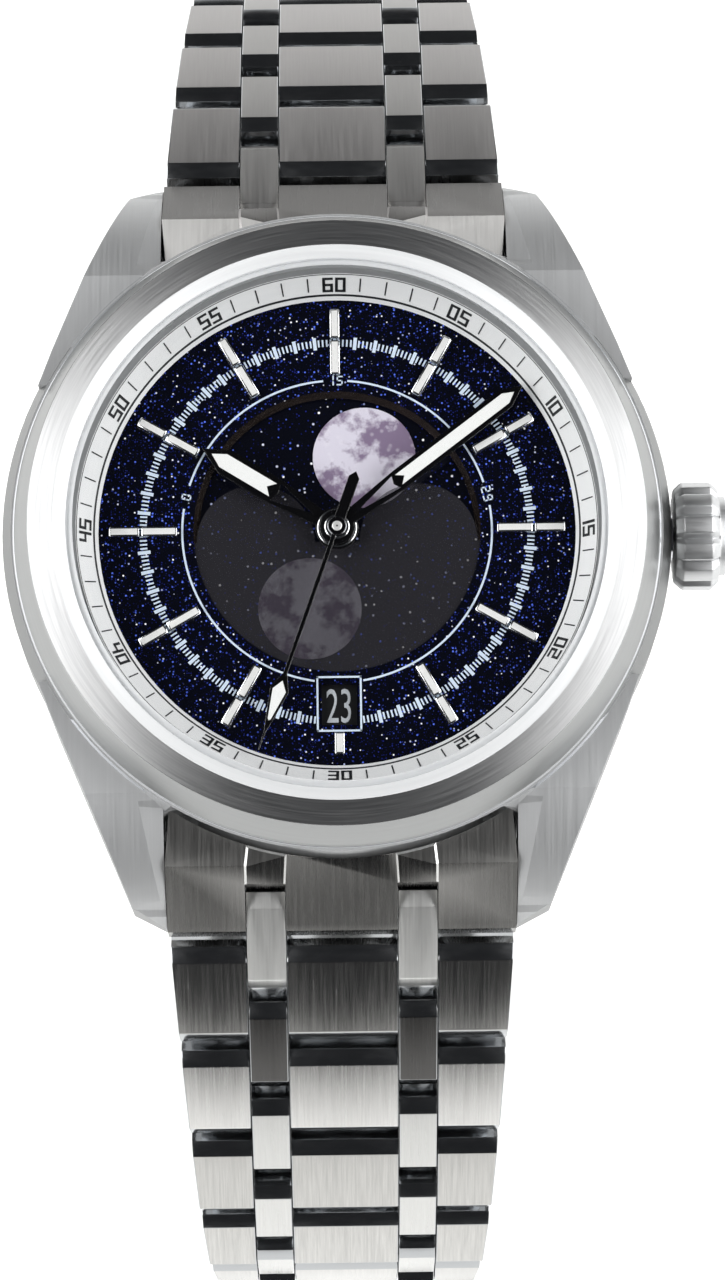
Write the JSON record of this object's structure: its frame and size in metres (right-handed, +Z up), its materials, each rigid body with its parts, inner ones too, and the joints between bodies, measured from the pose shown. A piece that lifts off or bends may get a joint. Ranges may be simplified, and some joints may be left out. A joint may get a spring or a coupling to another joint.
{
  "type": "moon phase watch",
  "caption": "Round steel wristwatch with a moon phase window, date and centre hands, fluted crown and a tapering five-row link bracelet with a fold-over clasp",
  "frame": {"origin": "middle of the case back's flat outer face, where it rests on the wrist", "axes": "+Z up out of the dial, +Y to 12 o'clock, +X to the crown at 3 o'clock"},
  "size_m": [0.0455, 0.0908, 0.0635],
  "materials": {
    "case_steel": "satin-brushed steel with polished edges",
    "polished_steel": "polished steel",
    "crystal": "clear sapphire",
    "chapter": "silvered ring with black minute marks",
    "aventurine": "dark blue aventurine glass with bright flecks",
    "smoke": "smoked translucent film",
    "moon": "pale printed moons",
    "date_print": "black ring with pale numerals",
    "movement_metal": "rhodium-plated brass",
    "hand_black": "black polished hands",
    "lume": "white luminous filling",
    "bracelet_steel": "lengthwise brushed links, polished bevels",
    "clasp_steel": "brushed clasp"
  },
  "bodies": {
    "head": {"case_middle": "case_steel", "case_back": "case_steel", "bezel": "case_steel", "crystal": "crystal", "chapter_ring": "chapter", "dial": "aventurine", "hour_markers": "polished_steel", "aperture_ring": "hand_black", "moon_mask": "smoke", "movement": "movement_metal", "crown_tube": "polished_steel", "spring_bars": "polished_steel", "end_link_12": "bracelet_steel", "end_link_6": "bracelet_steel"},
    "moon_wheel": {"moon_disc": "aventurine", "moons": "moon"},
    "date_wheel": {"date_ring": "date_print"},
    "hours": {"hour_hand": "hand_black", "hour_lume": "lume", "hour_pipe": "polished_steel"},
    "minutes": {"minute_hand": "hand_black", "minute_lume": "lume", "cannon_pinion": "polished_steel"},
    "seconds": {"second_hand": "hand_black", "second_lume": "lume", "second_arbor": "polished_steel"},
    "stem": {"winding_stem": "polished_steel"},
    "crown": {"crown": "polished_steel"},
    "link_12_1": {"link_12_1": "bracelet_steel"},
    "link_12_2": {"link_12_2": "bracelet_steel"},
    "link_12_3": {"link_12_3": "bracelet_steel"},
    "link_12_4": {"link_12_4": "bracelet_steel"},
    "link_12_5": {"link_12_5": "bracelet_steel"},
    "link_12_6": {"link_12_6": "bracelet_steel"},
    "link_12_7": {"link_12_7": "bracelet_steel"},
    "link_6_1": {"link_6_1": "bracelet_steel"},
    "link_6_2": {"link_6_2": "bracelet_steel"},
    "link_6_3": {"link_6_3": "bracelet_steel"},
    "link_6_4": {"link_6_4": "bracelet_steel"},
    "link_6_5": {"link_6_5": "bracelet_steel"},
    "link_6_6": {"link_6_6": "bracelet_steel"},
    "link_6_7": {"link_6_7": "bracelet_steel"},
    "cover": {"clasp_cover": "clasp_steel"},
    "outer_blade": {"clasp_outer_blade": "clasp_steel"},
    "inner_blade": {"clasp_inner_blade": "clasp_steel"},
    "button_right": {"clasp_button_right": "polished_steel"},
    "button_left": {"clasp_button_left": "polished_steel"}
  },
  "joints": [
    {"name": "minute_turn", "type": "hinge", "parent": "head", "child": "minutes", "pos_m": [0, 0, 0], "axis": [0, 0, -1], "continuous": true},
    {"name": "hour_turn", "type": "hinge", "parent": "head", "child": "hours", "pos_m": [0, 0, 0], "axis": [0, 0, -1], "continuous": true},
    {"name": "second_turn", "type": "hinge", "parent": "head", "child": "seconds", "pos_m": [0, 0, 0], "axis": [0, 0, -1], "continuous": true},
    {"name": "moon_turn", "type": "hinge", "parent": "head", "child": "moon_wheel", "pos_m": [0, 0, 0], "axis": [0, 0, -1], "continuous": true},
    {"name": "date_turn", "type": "hinge", "parent": "head", "child": "date_wheel", "pos_m": [0, 0, 0], "axis": [0, 0, 1], "continuous": true},
    {"name": "stem_pull", "type": "slide", "parent": "head", "child": "stem", "axis": [1, 0, 0], "range_m": [0, 0.0012]},
    {"name": "crown_turn", "type": "hinge", "parent": "stem", "child": "crown", "pos_m": [0, 0, 0.0053], "axis": [1, 0, 0], "continuous": true},
    {"name": "pivot_12_1", "type": "hinge", "parent": "head", "child": "link_12_1", "pos_m": [0, 0.0227, 0.0018], "axis": [1, 0, 0], "range_deg": [0, 31]},
    {"name": "pivot_12_2", "type": "hinge", "parent": "link_12_1", "child": "link_12_2", "pos_m": [0, 0.02965, -0.00255], "axis": [1, 0, 0], "range_deg": [0, 10.5]},
    {"name": "pivot_12_3", "type": "hinge", "parent": "link_12_2", "child": "link_12_3", "pos_m": [0, 0.0357, -0.00809], "axis": [1, 0, 0], "range_deg": [0, 8]},
    {"name": "pivot_12_4", "type": "hinge", "parent": "link_12_3", "child": "link_12_4", "pos_m": [0, 0.04092, -0.01441], "axis": [1, 0, 0], "range_deg": [0, 9.5]},
    {"name": "pivot_12_5", "type": "hinge", "parent": "link_12_4", "child": "link_12_5", "pos_m": [0, 0.04502, -0.02151], "axis": [1, 0, 0], "range_deg": [0, 36]},
    {"name": "pivot_12_6", "type": "hinge", "parent": "link_12_5", "child": "link_12_6", "pos_m": [0, 0.04416, -0.02967], "axis": [1, 0, 0], "range_deg": [0, 34]},
    {"name": "pivot_12_7", "type": "hinge", "parent": "link_12_6", "child": "link_12_7", "pos_m": [0, 0.03889, -0.03595], "axis": [1, 0, 0], "range_deg": [0, 13]},
    {"name": "pivot_6_1", "type": "hinge", "parent": "head", "child": "link_6_1", "pos_m": [0, -0.0227, 0.0018], "axis": [-1, 0, 0], "range_deg": [0, 31]},
    {"name": "pivot_6_2", "type": "hinge", "parent": "link_6_1", "child": "link_6_2", "pos_m": [0, -0.02873, -0.00376], "axis": [-1, 0, 0], "range_deg": [0, 6.8]},
    {"name": "pivot_6_3", "type": "hinge", "parent": "link_6_2", "child": "link_6_3", "pos_m": [0, -0.03405, -0.01], "axis": [-1, 0, 0], "range_deg": [0, 7]},
    {"name": "pivot_6_4", "type": "hinge", "parent": "link_6_3", "child": "link_6_4", "pos_m": [0, -0.03858, -0.01683], "axis": [-1, 0, 0], "range_deg": [0, 11.5]},
    {"name": "pivot_6_5", "type": "hinge", "parent": "link_6_4", "child": "link_6_5", "pos_m": [0, -0.04165, -0.02444], "axis": [-1, 0, 0], "range_deg": [0, 16]},
    {"name": "pivot_6_6", "type": "hinge", "parent": "link_6_5", "child": "link_6_6", "pos_m": [0, -0.04251, -0.03259], "axis": [-1, 0, 0], "range_deg": [0, 38]},
    {"name": "pivot_6_7", "type": "hinge", "parent": "link_6_6", "child": "link_6_7", "pos_m": [0, -0.03816, -0.03955], "axis": [-1, 0, 0], "range_deg": [0, 28]},
    {"name": "cover_pivot", "type": "hinge", "parent": "link_6_7", "child": "cover", "pos_m": [0, -0.03106, -0.04365], "axis": [-1, 0, 0], "range_deg": [0, 25]},
    {"name": "outer_fold", "type": "hinge", "parent": "cover", "child": "outer_blade", "pos_m": [0, 0.02013, -0.04602], "axis": [-1, 0, 0], "range_deg": [0, 80]},
    {"name": "inner_fold", "type": "hinge", "parent": "outer_blade", "child": "inner_blade", "pos_m": [0, -0.0205, -0.04655], "axis": [1, 0, 0], "range_deg": [0, 55]},
    {"name": "button_right_press", "type": "slide", "parent": "cover", "child": "button_right", "axis": [-1, 0, 0], "range_m": [0, 0.0005], "stiffness_N_per_m": 400, "springref_m": -0.0005},
    {"name": "button_left_press", "type": "slide", "parent": "cover", "child": "button_left", "axis": [1, 0, 0], "range_m": [0, 0.0005], "stiffness_N_per_m": 400, "springref_m": -0.0005}
  ],
  "couplings": [
    {"joint": "hour_turn", "follows": "minute_turn", "ratio": 0.083333},
    {"joint": "second_turn", "follows": "minute_turn", "ratio": 60}
  ]
}
